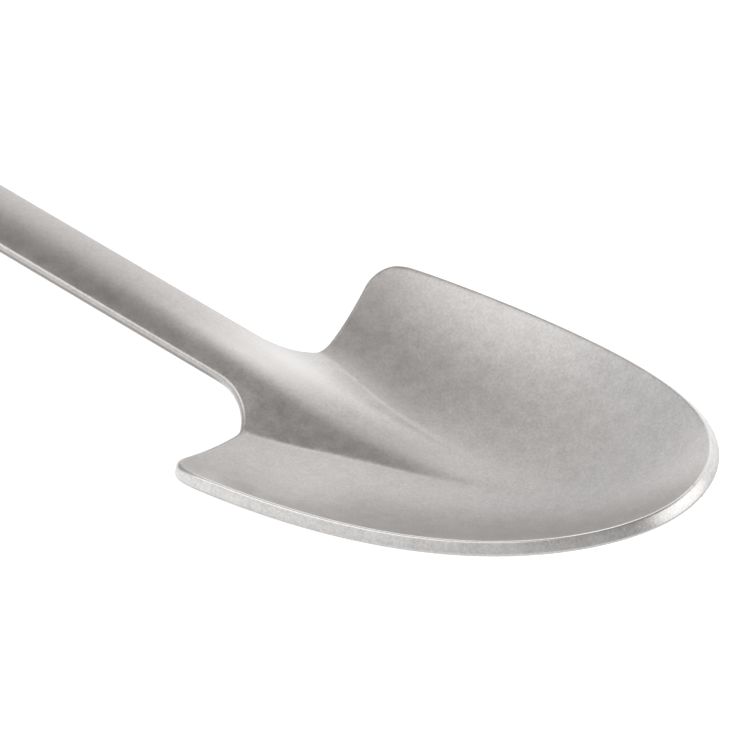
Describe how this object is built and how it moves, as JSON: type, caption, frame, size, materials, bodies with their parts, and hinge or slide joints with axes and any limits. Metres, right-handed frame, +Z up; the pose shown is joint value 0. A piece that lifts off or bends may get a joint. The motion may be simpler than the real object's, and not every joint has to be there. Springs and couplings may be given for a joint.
{
  "type": "detecting shovel",
  "caption": "Compact T-handled detecting shovel: dished round-nosed blade and arched neck pressed in one piece of thick stainless sheet, tube shaft, ribbed grips and swinging lanyard ring.",
  "frame": {"origin": "centre of the bounding box in plan, on the surface the shovel lies on", "axes": "+X from the T-handle towards the blade's tip, +Y to the shovel's left seen from the handle, +Z up out of the dish"},
  "size_m": [0.4586, 0.1316, 0.0475],
  "materials": {
    "blasted_stainless": "matte, bead-blasted",
    "tube_stainless": "satin, brushed round",
    "fastener_stainless": "turned",
    "black_nylon": "fine moulded texture",
    "black_rubber": "matte ribbed"
  },
  "bodies": {
    "shovel": {"head_pressing": "blasted_stainless", "mouth_collar": "tube_stainless", "shaft_tube": "tube_stainless", "tang_packer_upper": "black_nylon", "tang_packer_lower": "black_nylon", "tang_rivet_front": "fastener_stainless", "tang_rivet_rear": "fastener_stainless", "tee_shell_upper": "black_nylon", "tee_shell_lower": "black_nylon", "tee_screw_1": "fastener_stainless", "tee_screw_2": "fastener_stainless", "tee_screw_3": "fastener_stainless", "tee_screw_4": "fastener_stainless", "tee_nut_1": "fastener_stainless", "tee_nut_2": "fastener_stainless", "tee_nut_3": "fastener_stainless", "tee_nut_4": "fastener_stainless", "shaft_rivet": "fastener_stainless", "crossbar_rivet": "fastener_stainless", "crossbar_tube": "tube_stainless", "grip_left": "black_rubber", "grip_right": "black_rubber", "end_cap_left": "black_nylon", "end_cap_right": "black_nylon", "eye_stud": "fastener_stainless"},
    "lanyard_ring": {"lanyard_ring": "fastener_stainless"}
  },
  "joints": [
    {"name": "ring_swing", "type": "hinge", "parent": "shovel", "child": "lanyard_ring", "pos_m": [-0.21148, 0, 0.01647], "axis": [0, 1, 0], "range_deg": [-97, 180]}
  ]
}
